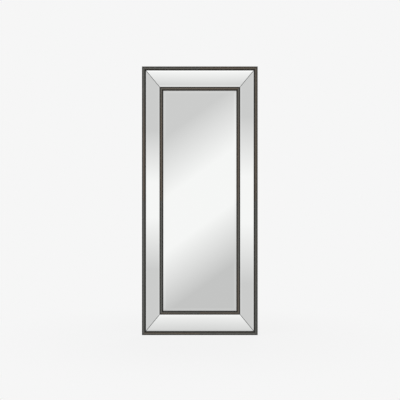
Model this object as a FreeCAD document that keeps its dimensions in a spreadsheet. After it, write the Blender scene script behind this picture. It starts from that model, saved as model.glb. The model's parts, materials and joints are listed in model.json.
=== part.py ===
"""Full-length beveled mirror in a mirrored frame.

The centre mirror lies behind an inner bead moulding. Four bevelled mirror strips slope back from it to
an outer bead moulding. A wedge-shaped core carries the strips and the mouldings, and a screwed back panel
holds the centre mirror. Four D-ring hangers on the back let it hang upright or lengthwise.

Millimetres. X points right, Z up, and the mirror faces -Y. The origin is the middle of the wall plane, y = 0.
"""
import FreeCAD, Part
import os
import re
import Sketcher

Vector = FreeCAD.Vector

SIZES = {
    # Outline and frame section
    "overall_width": 711,
    "overall_height": 1651,
    "outer_bead_width": 22,
    "inner_bead_width": 22,
    "side_strip_face": 87,
    "rail_strip_face": 107,
    "edge_height": 10,
    "frame_rise": 26,
    # Bead moulding section
    "bead_shoulder": 7.5,
    "bead_fillet": 3,
    "quirk_width": 1,
    "quirk_depth": 1.2,
    "bead_rise": 5,
    "arris_round": 0.8,
    "lip_overlap": 6,
    "lip_clear": 0.1,
    # Mirror strips and their tape
    "strip_thickness": 4,
    "strip_bevel_width": 10,
    "strip_bevel_drop": 1.3,
    "strip_gap": 0.4,
    "mitre_gap": 1,
    "seam_grind": 0.8,
    "tape_thickness": 1,
    "tape_width": 24,
    "tape_inset": 12,
    "tape_setback": 30,
    # Centre mirror and what lies behind it
    "mirror_thickness": 5,
    "mirror_bevel_width": 20,
    "mirror_bevel_drop": 1.6,
    "mirror_gap": 1.5,
    "block_length": 60,
    "block_inset": 90,
    "backing_thickness": 3,
    "panel_thickness": 5,
    "panel_lap": 13,
    "panel_gap": 0.5,
    # Loose tongues in the core mitres
    "tongue_length": 40,
    "tongue_width": 30,
    "tongue_thickness": 4,
    "tongue_height": 4,
    "tongue_setback": 90,
    "tongue_fit": 0.15,
    # Corner braces
    "brace_leg": 90,
    "brace_width": 18,
    "brace_thickness": 2,
    "brace_inset": 34,
    "brace_corner": 4,
    "brace_near_hole": 32,
    "brace_end_hole": 12,
    # Pan-head screws
    "screw_shank": 3.5,
    "screw_head": 7.5,
    "head_height": 2.3,
    "head_round": 1.2,
    "tip_length": 2.5,
    "tip_taper": 1.2,
    "screw_clearance": 0.6,
    "pilot_fit": 0.1,
    "pilot_spare": 0.5,
    "brace_bite": 10,
    "panel_bite": 5,
    "hanger_bite": 12,
    # D-ring hangers
    "strap_width": 16,
    "strap_length": 54,
    "strap_layer": 1,
    "strap_end_hole": 8,
    "strap_corner": 4,
    "ring_wire": 3,
    "ring_side_play": 1,
    "ring_arm": 3,
    "ring_bend": 3,
    "ring_play": 0.2,
    "ring_rest": 0.3,
    "ring_head_gap": 3.75,
    "hanger_drop": 400,
    "hanger_inset": 55,
    "rail_hanger_drop": 150,
    "rail_hanger_inset": 75,
    # Wall bumpers
    "bumper_width": 20,
    "bumper_thickness": 6,
    "bumper_taper": 2,
    "bumper_round": 1,
    "bumper_inset": 60,
    "bumper_drop": 190,
}
PANEL_SIDE_SCREWS = 5
PANEL_END_SCREWS = 2

# Tolerances: what counts as the same length, as a real cut and as a slanting edge
SAME_LENGTH = 1e-4
LEAST_CUT = 1e-3
LEAST_SLANT = 1

# Lengths worked out from the sizes. A "depth" is measured from the wall, a "run" inwards from the outer face.
BACK = "bumper_thickness"
STRIP_SEAT = f"({BACK} + edge_height)"
CREST_SEAT = f"({STRIP_SEAT} + frame_rise)"
BEAD_RADIUS = "(bead_chord^2 / 8 / bead_rise + bead_rise / 2)"
LIP_ON_BEVEL = "mirror_bevel_drop * (1 - (lip_overlap - mirror_gap) / mirror_bevel_width)"
GLASS_FRONT = f"({CREST_SEAT} + {LIP_ON_BEVEL} - lip_clear)"
GLASS_BACK = f"({GLASS_FRONT} - mirror_thickness)"
PANEL_SEAT = f"({GLASS_BACK} - backing_thickness)"
PANEL_BACK = f"({PANEL_SEAT} - panel_thickness)"
MITRE_LENGTH = "sqrt(side_strip_face^2 + rail_strip_face^2)"
MITRE_ACROSS = f"(side_strip_face / {MITRE_LENGTH})"
MITRE_UP = f"(rail_strip_face / {MITRE_LENGTH})"
SAW = "outer_bead_width"
SCREW_HOLE = "(screw_shank + screw_clearance)"
BARREL_HOLE = "(ring_wire / 2 + ring_play)"
BARREL = f"({BARREL_HOLE} + strap_layer)"
STRAP = "(2 * strap_layer)"
RING_HALF = "(strap_width / 2 + ring_side_play + ring_bend)"
RING_REACH = f"(ring_bend + ring_arm + {RING_HALF})"
FIRST_STRAP_HOLE = f"({RING_REACH} + ring_wire / 2 + ring_head_gap + screw_head / 2)"
STRAP_HOLES = (FIRST_STRAP_HOLE, "(strap_length - strap_end_hole)")
RING_TILT = f"asin(({STRAP} + ring_rest + ring_wire / 2 - {BARREL}) / {RING_REACH})"

WORD = re.compile(r"[A-Za-z_]\w*")

doc = FreeCAD.newDocument("BeveledMirror")
sheet = doc.addObject("Spreadsheet::Sheet", "Sizes")
for row, (name, size) in enumerate(SIZES.items(), start=1):
    sheet.set(f"A{row}", name)
    sheet.set(f"B{row}", str(size))
    sheet.setAlias(f"B{row}", name)
doc.recompute()
os.makedirs("parts", exist_ok=True)

nodes = []


def bound(expression):
    """Write an expression so that each size in it is read from the sheet."""
    return WORD.sub(lambda word: f"Sizes.{word[0]}" if word[0] in SIZES else word[0], str(expression))


def value(expression):
    """Return what an expression comes to with the sheet's present sizes."""
    result = sheet.evalExpression(bound(expression))
    return float(getattr(result, "Value", result))


def tie(thing, prop, expression):
    """Bind one property to the sheet."""
    thing.setExpression(prop, bound(expression))


def new_body(name):
    """Start the body of one node."""
    body = doc.addObject("PartDesign::Body", name)
    body.Label = name
    nodes.append(body)
    return body


def place(body, x, y, z, turn=0):
    """Put a body at a spot, turned about Y by some degrees."""
    body.Placement = FreeCAD.Placement(Vector(), FreeCAD.Rotation(Vector(0, 1, 0), turn))
    for axis, expression in zip("xyz", (x, y, z)):
        tie(body, f"Placement.Base.{axis}", expression)


def new_sketch(body, name, plane, height="0"):
    """Start a sketch on one of the body's origin planes, or level with it at some height."""
    sketch = body.newObject("Sketcher::SketchObject", f"{body.Name}_{name}")
    support = next(item for item in body.Origin.OriginFeatures if item.Role == plane)
    sketch.AttachmentSupport = [(support, "")]
    sketch.MapMode = "FlatFace"
    tie(sketch, "AttachmentOffset.Base.z", height)
    return sketch


def fix_point(sketch, curve, end, x, y):
    """Tie one point of a curve to its two coordinates."""
    for kind, expression in (("DistanceX", x), ("DistanceY", y)):
        number = sketch.addConstraint(Sketcher.Constraint(kind, curve, end, value(expression)))
        tie(sketch, f"Constraints[{number}]", expression)


def draw_outline(sketch, corners):
    """Draw a closed outline.

    A corner is (x, y), or (x, y, arc) where the edge that leaves it is an arc: arc is (radius, x, y) with
    a point that the arc passes.
    """
    spots = [Vector(value(corner[0]), value(corner[1]), 0) for corner in corners]
    drawn = []
    for index, corner in enumerate(corners):
        start = spots[index]
        end = spots[(index + 1) % len(corners)]
        if len(corner) == 2:
            drawn.append((sketch.addGeometry(Part.LineSegment(start, end)), 1, 2))
            continue
        radius, via_x, via_y = corner[2]
        curve = sketch.addGeometry(Part.Arc(start, Vector(value(via_x), value(via_y), 0), end))
        forward = sketch.getPoint(curve, 1).distanceToPoint(start) < SAME_LENGTH
        drawn.append((curve, 1, 2) if forward else (curve, 2, 1))
        number = sketch.addConstraint(Sketcher.Constraint("Radius", curve, value(radius)))
        tie(sketch, f"Constraints[{number}]", radius)
    for index, (curve, start, end) in enumerate(drawn):
        following, first, _ = drawn[(index + 1) % len(drawn)]
        sketch.addConstraint(Sketcher.Constraint("Coincident", curve, end, following, first))
        fix_point(sketch, curve, start, *corners[index][:2])


def draw_circles(sketch, spots, diameter):
    """Draw equal circles at the given spots."""
    for x, y in spots:
        circle = Part.Circle(Vector(value(x), value(y), 0), Vector(0, 0, 1), value(diameter) / 2)
        curve = sketch.addGeometry(circle)
        fix_point(sketch, curve, 3, x, y)
        number = sketch.addConstraint(Sketcher.Constraint("Diameter", curve, value(diameter)))
        tie(sketch, f"Constraints[{number}]", diameter)


def pad(body, sketch, length, symmetric=False, reverse=False):
    """Pad a sketch by a length."""
    feature = body.newObject("PartDesign::Pad", f"{sketch.Name}_pad")
    feature.Profile = sketch
    feature.SideType = "Symmetric" if symmetric else "One side"
    feature.Reversed = reverse
    tie(feature, "Length", length)
    doc.recompute()
    return feature


def pocket(body, sketch, depth=None, reverse=False):
    """Cut a sketch into its body, to a depth or right through both ways, and make sure that it cut."""
    before = body.Shape.Volume
    feature = body.newObject("PartDesign::Pocket", f"{sketch.Name}_cut")
    feature.Profile = sketch
    feature.Reversed = reverse
    if depth is None:
        feature.SideType = "Symmetric"
        feature.Type = "ThroughAll"
    else:
        tie(feature, "Length", depth)
    doc.recompute()
    if body.Shape.Volume > before - LEAST_CUT:
        raise RuntimeError(f"{feature.Name} cuts nothing")
    return feature


def dress(body, kind, name, picks, **sizes):
    """Round or chamfer the edges that picks accepts; picks gets each edge and its middle point."""
    tip = body.Tip
    chosen = []
    for number, edge in enumerate(tip.Shape.Edges, start=1):
        middle = edge.valueAt((edge.FirstParameter + edge.LastParameter) / 2)
        if picks(edge, middle):
            chosen.append(f"Edge{number}")
    if not chosen:
        raise RuntimeError(f"{body.Name} {name} finds no edge")
    feature = body.newObject(f"PartDesign::{kind}", f"{body.Name}_{name}")
    feature.Base = (tip, chosen)
    if len(sizes) > 1:
        feature.ChamferType = "Two distances"
    for prop, expression in sizes.items():
        tie(feature, prop, expression)
    doc.recompute()
    return feature


def near(first, second):
    """Say whether two lengths are the same."""
    return abs(first - second) < SAME_LENGTH


class Side:
    """One side of the frame: a stile or a rail.

    A stile's section lies on the XY plane and runs along Z, a rail's on the YZ plane and runs along X.
    sign is -1 for the left stile and the bottom rail, 1 for the right stile and the top rail.
    """

    def __init__(self, name, upright, sign):
        self.name = name
        self.upright = upright
        self.sign = sign
        self.length = "overall_height" if upright else "overall_width"
        self.half = "(overall_width / 2)" if upright else "(overall_height / 2)"
        self.face = "side_strip_face" if upright else "rail_strip_face"
        self.plane = "XY_Plane" if upright else "YZ_Plane"
        self.slant = f"sqrt(1 + (frame_rise / {self.face})^2)"
        self.strip_end = f"(outer_bead_width + {self.face})"
        self.core_end = f"({self.strip_end} + inner_bead_width - lip_overlap)"
        self.panel_end = f"({self.core_end} - panel_lap)"

    def across(self, run):
        """Give the coordinate across the side of a point that lies run inwards from the outer face."""
        return f"({self.sign}) * ({self.half} - ({run}))"

    def section(self, run, depth):
        """Give the two sketch coordinates of a point of the section."""
        if self.upright:
            return self.across(run), f"-({depth})"
        return f"-({depth})", self.across(run)

    def plan(self, run, along):
        """Give the X and Z expressions of a point: run inwards, and along the side from its middle."""
        if self.upright:
            return self.across(run), along
        return along, self.across(run)

    def seat(self, run):
        """Give the depth of the core's sloping front at some run."""
        return f"({STRIP_SEAT} + frame_rise * (({run}) - outer_bead_width) / {self.face})"


SIDES = [
    Side("top", False, 1),
    Side("bottom", False, -1),
    Side("left", True, -1),
    Side("right", True, 1),
]
TOP, BOTTOM, LEFT, RIGHT = SIDES
CORNERS = [(x, z) for z in (1, -1) for x in (-1, 1)]
CORNER_NAMES = {(-1, 1): "upper_left", (1, 1): "upper_right", (-1, -1): "lower_left", (1, -1): "lower_right"}


def cut_mitres(side, body, gap="0"):
    """Saw both ends along the corner line: 45 degrees through the mouldings, steeper through the strips."""
    outer = "outer_bead_width"
    inner = f"inner_bead_width + {SAW}"
    line = [
        (f"-({SAW})", f"-({SAW})"),
        (outer, outer),
        (f"{outer} + side_strip_face", f"{outer} + rail_strip_face"),
        (f"{outer} + side_strip_face + {inner}", f"{outer} + rail_strip_face + {inner}"),
    ]
    far_in = line[-1][0 if side.upright else 1]
    runs = [point if side.upright else point[::-1] for point in line]
    reach = f"-2 * ({SAW})"
    waste = [(run, f"{along} + {gap}") for run, along in runs]
    waste += [(far_in, reach), (f"-({SAW})", reach)]
    sketch = new_sketch(body, "mitres", "XZ_Plane")
    for end in (-1, 1):
        outline = []
        for run, along in waste:
            outline.append(side.plan(run, f"({end}) * ({side.length} / 2 - ({along}))"))
        draw_outline(sketch, outline)
    pocket(body, sketch)


def make_stick(side, name, corners, gap="0"):
    """Pad a section along its side and saw its mitres."""
    body = new_body(name)
    sketch = new_sketch(body, "section", side.plane)
    draw_outline(sketch, corners)
    pad(body, sketch, side.length, symmetric=True)
    cut_mitres(side, body, gap)
    return body


def crown(side, start, width, seat):
    """Give the corners of a moulding's front, from its outer arris inwards.

    They are a fillet, a quirk, the bead, a quirk and a fillet.
    """
    top = f"{seat} + bead_shoulder"
    groove = f"{top} - quirk_depth"
    chord = f"({width} - 2 * bead_fillet - 2 * quirk_width)"
    radius = BEAD_RADIUS.replace("bead_chord", chord)
    end = f"{start} + {width}"
    bend = "arris_round * (1 - sqrt(0.5))"
    outer_arc = ("arris_round", *side.section(f"{start} + {bend}", f"{top} - {bend}"))
    inner_arc = ("arris_round", *side.section(f"{end} - {bend}", f"{top} - {bend}"))
    bead_arc = (radius, *side.section(f"{start} + {width} / 2", f"{groove} + bead_rise"))
    return [
        (*side.section(start, f"{top} - arris_round"), outer_arc),
        side.section(f"{start} + arris_round", top),
        side.section(f"{start} + bead_fillet", top),
        (*side.section(f"{start} + bead_fillet + quirk_width", groove), bead_arc),
        side.section(f"{end} - bead_fillet - quirk_width", groove),
        side.section(f"{end} - bead_fillet", top),
        (*side.section(f"{end} - arris_round", top), inner_arc),
        side.section(end, f"{top} - arris_round"),
    ]


def make_mouldings(side):
    """Make the outer and the inner bead moulding of one side."""
    outer = crown(side, "0", "outer_bead_width", STRIP_SEAT)
    outer += [side.section("outer_bead_width", BACK), side.section("0", BACK)]
    make_stick(side, f"outer_moulding_{side.name}", outer)
    inner = crown(side, side.strip_end, "inner_bead_width", CREST_SEAT)
    inner += [
        side.section(f"{side.strip_end} + inner_bead_width", CREST_SEAT),
        side.section(side.strip_end, CREST_SEAT),
    ]
    make_stick(side, f"inner_moulding_{side.name}", inner)


def on_mitred_front(edge, middle):
    """Say whether an edge is a front one on a sawn end: it runs slantwise, shorter than the one behind it."""
    way = edge.Vertexes[-1].Point - edge.Vertexes[0].Point
    slantwise = min(abs(way.x), abs(way.z)) > LEAST_SLANT
    return slantwise and edge.Length < value(MITRE_LENGTH) - value("strip_bevel_width")


def make_strip(side):
    """Make one bevelled mirror strip and the two runs of tape under it."""
    start = "outer_bead_width + strip_gap"
    end = f"{side.strip_end} - strip_gap"
    bed = f"tape_thickness * {side.slant}"
    face = f"(tape_thickness + strip_thickness) * {side.slant}"
    edge = f"(tape_thickness + strip_thickness - strip_bevel_drop) * {side.slant}"
    bevel = f"strip_bevel_width / {side.slant}"
    profile = [
        (start, bed),
        (start, edge),
        (f"{start} + {bevel}", face),
        (f"{end} - {bevel}", face),
        (end, edge),
        (end, bed),
    ]
    corners = [side.section(run, f"{side.seat(run)} + {rise}") for run, rise in profile]
    strip = make_stick(side, f"mirror_strip_{side.name}", corners, gap="mitre_gap")
    dress(strip, "Chamfer", "seams", on_mitred_front, Size="seam_grind")

    tape = new_body(f"mounting_tape_{side.name}")
    sketch = new_sketch(tape, "section", side.plane)
    for near_edge in (f"{start} + tape_inset", f"{end} - tape_inset - tape_width"):
        far_edge = f"{near_edge} + tape_width"
        draw_outline(sketch, [
            side.section(near_edge, side.seat(near_edge)),
            side.section(near_edge, f"{side.seat(near_edge)} + {bed}"),
            side.section(far_edge, f"{side.seat(far_edge)} + {bed}"),
            side.section(far_edge, side.seat(far_edge)),
        ])
    other = "rail_strip_face" if side.upright else "side_strip_face"
    pad(tape, sketch, f"{side.length} - 2 * (outer_bead_width + {other} + tape_setback)", symmetric=True)


def tongue_outline(x_sign, z_sign, fit="0"):
    """Give the plan of one loose tongue, which lies across a corner's mitre line."""
    outline = []
    for along, across in ((-1, -1), (1, -1), (1, 1), (-1, 1)):
        way = f"(tongue_setback + ({along}) * (tongue_length / 2 + {fit}))"
        off = f"(({across}) * (tongue_width / 2 + {fit}))"
        run = f"(outer_bead_width + {way} * {MITRE_ACROSS} + {off} * {MITRE_UP})"
        rise = f"(outer_bead_width + {way} * {MITRE_UP} - {off} * {MITRE_ACROSS})"
        x = f"({x_sign}) * (overall_width / 2 - {run})"
        outline.append((x, f"({z_sign}) * (overall_height / 2 - {rise})"))
    return outline


def drill(body, name, spots, depth_from_wall, bite):
    """Drill pilot holes towards the front from some depth."""
    sketch = new_sketch(body, name, "XZ_Plane", depth_from_wall)
    draw_circles(sketch, spots, "screw_shank + pilot_fit")
    pocket(body, sketch, f"{bite} + pilot_spare", reverse=True)


def make_core(side, hanger_holes):
    """Make one core member: a slotted and drilled wedge with a rebate for the glass and one for the panel."""
    corners = [
        side.section("outer_bead_width", BACK),
        side.section("outer_bead_width", STRIP_SEAT),
        side.section(side.strip_end, CREST_SEAT),
        side.section(side.core_end, CREST_SEAT),
        side.section(side.core_end, PANEL_SEAT),
        side.section(side.panel_end, PANEL_SEAT),
        side.section(side.panel_end, BACK),
    ]
    kind = "stile" if side.upright else "rail"
    body = make_stick(side, f"core_{kind}_{side.name}", corners)
    slots = new_sketch(body, "slots", "XZ_Plane", f"{BACK} + tongue_height - tongue_fit")
    for x_sign, z_sign in CORNERS:
        if side.sign == (x_sign if side.upright else z_sign):
            draw_outline(slots, tongue_outline(x_sign, z_sign, "tongue_fit"))
    pocket(body, slots, "tongue_thickness + 2 * tongue_fit", reverse=True)
    drill(body, "brace_pilots", brace_spots(side), BACK, "brace_bite")
    drill(body, "panel_pilots", panel_spots(side), PANEL_SEAT, "panel_bite")
    drill(body, "hanger_pilots", hanger_holes, BACK, "hanger_bite")


def brace_spots(side, ends=(-1, 1)):
    """Give the screw spots of the corner braces that lie on one side, at the given ends of it."""
    run = "brace_inset + brace_width / 2"
    spots = []
    for end in ends:
        for along in ("brace_near_hole", "brace_leg - brace_end_hole"):
            spots.append(side.plan(run, f"({end}) * ({side.length} / 2 - brace_inset - ({along}))"))
    return spots


def panel_spots(side):
    """Give the screw spots along one edge of the back panel."""
    count = PANEL_SIDE_SCREWS if side.upright else PANEL_END_SCREWS
    end_run = (TOP if side.upright else LEFT).core_end
    span = f"({side.length} - 2 * {end_run})"
    run = f"{side.core_end} - panel_lap / 2"
    return [side.plan(run, f"{span} * {(2 * index + 1 - count) / (2 * count)}") for index in range(count)]


def make_screws(name, spots, seat, grip):
    """Make a group of pan-head screws: heads behind their seat, shanks in front of it."""
    body = new_body(name)
    heads = new_sketch(body, "heads", "XZ_Plane", seat)
    draw_circles(heads, spots, "screw_head")
    pad(body, heads, "head_height", reverse=True)
    back = -value(seat) + value("head_height")
    dress(body, "Fillet", "domes", lambda edge, middle: near(middle.y, back), Radius="head_round")
    shanks = new_sketch(body, "shanks", "XZ_Plane", seat)
    draw_circles(shanks, spots, "screw_shank")
    pad(body, shanks, grip)
    front = -value(seat) - value(grip)
    dress(
        body, "Chamfer", "tips", lambda edge, middle: near(middle.y, front),
        Size="tip_length", Size2="tip_taper",
    )
    return body


def make_centre():
    """Make the centre mirror, the setting blocks under it, the board behind it and the back panel."""
    half_width = f"(overall_width / 2 - {LEFT.core_end} - mirror_gap)"
    half_height = f"(overall_height / 2 - {TOP.core_end} - mirror_gap)"

    def rectangle(x, z):
        return [(f"-({x})", f"-({z})"), (x, f"-({z})"), (x, z), (f"-({x})", z)]

    mirror = new_body("centre_mirror")
    sketch = new_sketch(mirror, "plate", "XZ_Plane", GLASS_BACK)
    draw_outline(sketch, rectangle(half_width, half_height))
    pad(mirror, sketch, "mirror_thickness")
    front = -value(GLASS_FRONT)
    dress(
        mirror, "Chamfer", "bevels", lambda edge, middle: near(middle.y, front),
        Size="mirror_bevel_drop", Size2="mirror_bevel_width",
    )

    blocks = new_body("setting_blocks")
    sketch = new_sketch(blocks, "plan", "XZ_Plane", GLASS_BACK)
    low = f"-({half_height} + mirror_gap)"
    for sign in (-1, 1):
        outer = f"({sign}) * ({half_width} - block_inset)"
        inner = f"({sign}) * ({half_width} - block_inset - block_length)"
        top = f"-({half_height})"
        draw_outline(sketch, [(outer, low), (inner, low), (inner, top), (outer, top)])
    pad(blocks, sketch, "mirror_thickness - mirror_bevel_drop")

    backing = new_body("backing_sheet")
    sketch = new_sketch(backing, "sheet", "XZ_Plane", PANEL_SEAT)
    draw_outline(sketch, rectangle(half_width, half_height))
    pad(backing, sketch, "backing_thickness")

    panel = new_body("back_panel")
    sketch = new_sketch(panel, "sheet", "XZ_Plane", PANEL_BACK)
    wide = f"(overall_width / 2 - {LEFT.panel_end} - panel_gap)"
    tall = f"(overall_height / 2 - {TOP.panel_end} - panel_gap)"
    draw_outline(sketch, rectangle(wide, tall))
    pad(panel, sketch, "panel_thickness")
    spots = [spot for side in SIDES for spot in panel_spots(side)]
    holes = new_sketch(panel, "screw_holes", "XZ_Plane", PANEL_BACK)
    draw_circles(holes, spots, SCREW_HOLE)
    pocket(panel, holes)
    make_screws("back_panel_screws", spots, PANEL_BACK, "panel_thickness + panel_bite")


def make_braces():
    """Make the four corner braces and all their screws."""
    seat = f"({BACK} - brace_thickness)"
    all_spots = []
    for x_sign, z_sign in CORNERS:
        body = new_body(f"corner_brace_{CORNER_NAMES[x_sign, z_sign]}")

        def corner(run, rise):
            x = f"({x_sign}) * (overall_width / 2 - brace_inset - ({run}))"
            return x, f"({z_sign}) * (overall_height / 2 - brace_inset - ({rise}))"

        plate = new_sketch(body, "plate", "XZ_Plane", seat)
        draw_outline(plate, [
            corner("0", "0"),
            corner("brace_leg", "0"),
            corner("brace_leg", "brace_width"),
            corner("brace_width", "brace_width"),
            corner("brace_width", "brace_leg"),
            corner("0", "brace_leg"),
        ])
        pad(body, plate, "brace_thickness")
        ends = [value(text) for text in corner("brace_leg", "brace_leg")]
        dress(
            body, "Fillet", "leg_corners",
            lambda edge, middle: near(middle.y, -value(seat) - value("brace_thickness") / 2)
            and (near(middle.x, ends[0]) or near(middle.z, ends[1])),
            Radius="brace_corner",
        )
        upright = LEFT if x_sign < 0 else RIGHT
        level = BOTTOM if z_sign < 0 else TOP
        spots = brace_spots(upright, (z_sign,)) + brace_spots(level, (x_sign,))
        holes = new_sketch(body, "screw_holes", "XZ_Plane", seat)
        draw_circles(holes, spots, SCREW_HOLE)
        pocket(body, holes)
        all_spots += spots
    make_screws("corner_brace_screws", all_spots, seat, "brace_thickness + brace_bite")


def make_tongues():
    """Make the four loose tongues."""
    body = new_body("corner_tongues")
    sketch = new_sketch(body, "plan", "XZ_Plane", f"{BACK} + tongue_height")
    for x_sign, z_sign in CORNERS:
        draw_outline(sketch, tongue_outline(x_sign, z_sign))
    pad(body, sketch, "tongue_thickness")


class Hanger:
    """One D-ring hanger. Its fold lies at spot; its strap runs down, or inwards where it is turned."""

    def __init__(self, name, x, z, turn):
        self.name = name
        self.x = x
        self.z = z
        self.turn = turn

    def screw_spots(self):
        """Give the plan of its two screws."""
        if self.turn:
            return [(f"{self.x} - {way}", self.z) for way in STRAP_HOLES]
        return [(self.x, f"{self.z} - {way}") for way in STRAP_HOLES]

    def make(self):
        """Make the folded strap and the ring that swings in its fold."""
        strap = new_body(f"hanger_strap_{self.name}")
        profile = new_sketch(strap, "profile", "YZ_Plane")
        lift = f"sqrt({BARREL}^2 - ({STRAP} - {BARREL})^2)"
        around = (BARREL, BARREL, BARREL)
        draw_outline(profile, [
            ("0", "-strap_length"),
            ("0", "0", around),
            (STRAP, f"-({lift})"),
            (STRAP, "-strap_length"),
        ])
        pad(strap, profile, "strap_width", symmetric=True)
        bore = new_sketch(strap, "fold", "YZ_Plane")
        draw_circles(bore, [(BARREL, "0")], f"2 * {BARREL_HOLE}")
        pocket(strap, bore)
        end = -value("strap_length")
        dress(
            strap, "Fillet", "end_corners",
            lambda edge, middle: near(middle.z, end) and near(middle.y, value(STRAP) / 2),
            Radius="strap_corner",
        )
        holes = new_sketch(strap, "screw_holes", "XZ_Plane")
        draw_circles(holes, [("0", f"-{way}") for way in STRAP_HOLES], SCREW_HOLE)
        pocket(strap, holes)
        place(strap, self.x, f"-{BACK}", self.z, self.turn)

        ring = new_body(f"hanger_ring_{self.name}")
        path = new_sketch(ring, "path", "XZ_Plane")
        path.AttachmentOffset = FreeCAD.Placement(Vector(), FreeCAD.Rotation(Vector(1, 0, 0), 0))
        tie(path, "AttachmentOffset.Base.z", f"-{BARREL}")
        tie(path, "AttachmentOffset.Rotation.Angle", RING_TILT)
        bend = "ring_bend * (1 - sqrt(0.5))"
        arm = "-(ring_bend + ring_arm)"
        aside = f"{RING_HALF} * sqrt(0.5)"
        below = f"{arm} - {aside}"
        draw_outline(path, [
            ("0", "0"),
            (f"{RING_HALF} - ring_bend", "0", ("ring_bend", f"{RING_HALF} - {bend}", f"-({bend})")),
            (RING_HALF, "-ring_bend"),
            (RING_HALF, arm, (RING_HALF, aside, below)),
            ("0", f"-{RING_REACH}", (RING_HALF, f"-{aside}", below)),
            (f"-{RING_HALF}", arm),
            (f"-{RING_HALF}", "-ring_bend", ("ring_bend", f"-({RING_HALF} - {bend})", f"-({bend})")),
            (f"-({RING_HALF} - ring_bend)", "0"),
        ])
        wire = new_sketch(ring, "wire", "YZ_Plane")
        draw_circles(wire, [(BARREL, "0")], "ring_wire")
        sweep = ring.newObject("PartDesign::AdditivePipe", f"{ring.Name}_sweep")
        sweep.Profile = wire
        sweep.Spine = path
        place(ring, self.x, f"-{BACK}", self.z, self.turn)
        doc.recompute()


def list_hangers():
    """Give the hangers by the side that carries them: the stiles' for upright, the rails' for lengthwise."""
    stile_x = "(overall_width / 2 - hanger_inset)"
    stile_z = "(overall_height / 2 - hanger_drop)"
    rail_x = "(overall_width / 2 - rail_hanger_drop)"
    rail_z = "(overall_height / 2 - rail_hanger_inset)"
    return {
        "top": Hanger("rail_top", rail_x, rail_z, 90),
        "bottom": Hanger("rail_bottom", rail_x, f"(-{rail_z})", 90),
        "left": Hanger("stile_left", f"(-{stile_x})", stile_z, 0),
        "right": Hanger("stile_right", stile_x, stile_z, 0),
    }


def make_bumpers():
    """Make the four rubber bumpers that stand the frame off the wall."""
    for x_sign, z_sign in CORNERS:
        body = new_body(f"wall_bumper_{CORNER_NAMES[x_sign, z_sign]}")
        profile = new_sketch(body, "profile", "XY_Plane")
        draw_outline(profile, [
            ("0", "0"),
            ("bumper_width / 2", "0"),
            ("bumper_width / 2 - bumper_taper", "bumper_thickness"),
            ("0", "bumper_thickness"),
        ])
        turned = body.newObject("PartDesign::Revolution", f"{body.Name}_turned")
        turned.Profile = profile
        turned.ReferenceAxis = (profile, ["V_Axis"])
        turned.Angle = 360
        doc.recompute()
        back = value("bumper_thickness")
        dress(
            body, "Fillet", "rim", lambda edge, middle: near(middle.y, back) and edge.Closed,
            Radius="bumper_round",
        )
        x = f"({x_sign}) * (overall_width / 2 - bumper_inset)"
        place(body, x, f"-{BACK}", f"({z_sign}) * (overall_height / 2 - bumper_drop)")


hangers = list_hangers()
for side in SIDES:
    make_core(side, hangers[side.name].screw_spots())
    make_mouldings(side)
    make_strip(side)
make_tongues()
make_centre()
make_braces()
for hanger in hangers.values():
    hanger.make()
hanger_spots = [spot for hanger in hangers.values() for spot in hanger.screw_spots()]
make_screws("hanger_screws", hanger_spots, f"({BACK} - {STRAP})", f"{STRAP} + hanger_bite")
make_bumpers()

doc.recompute()
for thing in doc.Objects:
    if "Invalid" in thing.State or "Error" in thing.State:
        raise RuntimeError(f"{thing.Name} failed: {thing.State}")
for body in nodes:
    if body.Shape.isNull() or not body.Shape.isValid():
        raise RuntimeError(f"{body.Label} has no valid shape")
for body in nodes:
    body.Shape.exportStep(f"parts/{body.Label}.step")
    box = body.Shape.BoundBox
    print(f"{body.Label}: {len(body.Shape.Solids)} solids, {body.Shape.Volume / 1000:.1f} cm3, "
          f"{box.XLength:.1f} x {box.YLength:.1f} x {box.ZLength:.1f}")
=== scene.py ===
"""Looks of the beveled mirror.

Silvered glass between bronze bead mouldings, a painted core, a hardboard back and zinc hardware, shown in a
pale studio.
"""
from __future__ import annotations

import json
import logging
import math
from dataclasses import dataclass
from enum import Enum
from typing import Any, Iterable, Union

import bmesh
import bpy
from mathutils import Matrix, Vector

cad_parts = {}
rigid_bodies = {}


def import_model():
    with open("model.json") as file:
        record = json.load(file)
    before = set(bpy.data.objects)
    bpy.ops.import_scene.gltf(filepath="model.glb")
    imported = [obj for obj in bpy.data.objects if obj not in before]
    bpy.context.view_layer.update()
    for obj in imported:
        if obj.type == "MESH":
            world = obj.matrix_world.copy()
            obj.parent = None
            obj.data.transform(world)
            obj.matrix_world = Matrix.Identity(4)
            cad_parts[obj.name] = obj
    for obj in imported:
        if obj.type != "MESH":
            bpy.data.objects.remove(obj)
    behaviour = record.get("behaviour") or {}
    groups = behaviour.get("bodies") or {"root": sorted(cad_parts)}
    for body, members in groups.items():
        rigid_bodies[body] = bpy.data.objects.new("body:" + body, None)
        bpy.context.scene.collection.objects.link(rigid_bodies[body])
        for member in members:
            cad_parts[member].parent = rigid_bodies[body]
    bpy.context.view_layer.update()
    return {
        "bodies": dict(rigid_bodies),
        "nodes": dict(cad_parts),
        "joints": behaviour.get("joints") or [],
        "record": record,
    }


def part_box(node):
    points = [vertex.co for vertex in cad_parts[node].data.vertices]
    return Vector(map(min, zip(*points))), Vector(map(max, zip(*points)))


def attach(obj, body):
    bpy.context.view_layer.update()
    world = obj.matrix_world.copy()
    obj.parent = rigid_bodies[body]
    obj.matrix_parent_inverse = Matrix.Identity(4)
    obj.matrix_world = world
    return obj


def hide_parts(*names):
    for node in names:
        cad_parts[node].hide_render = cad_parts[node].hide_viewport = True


LOG = logging.getLogger("beveled_mirror")
ROOT = "mirror"
SCREW_NODES = ("back_panel_screws", "corner_brace_screws", "hanger_screws")

# Points nearer than this many metres are one point, and places are sorted by this many decimals.
SAME_PLACE = 1e-6
SORT_DIGITS = 5

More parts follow.
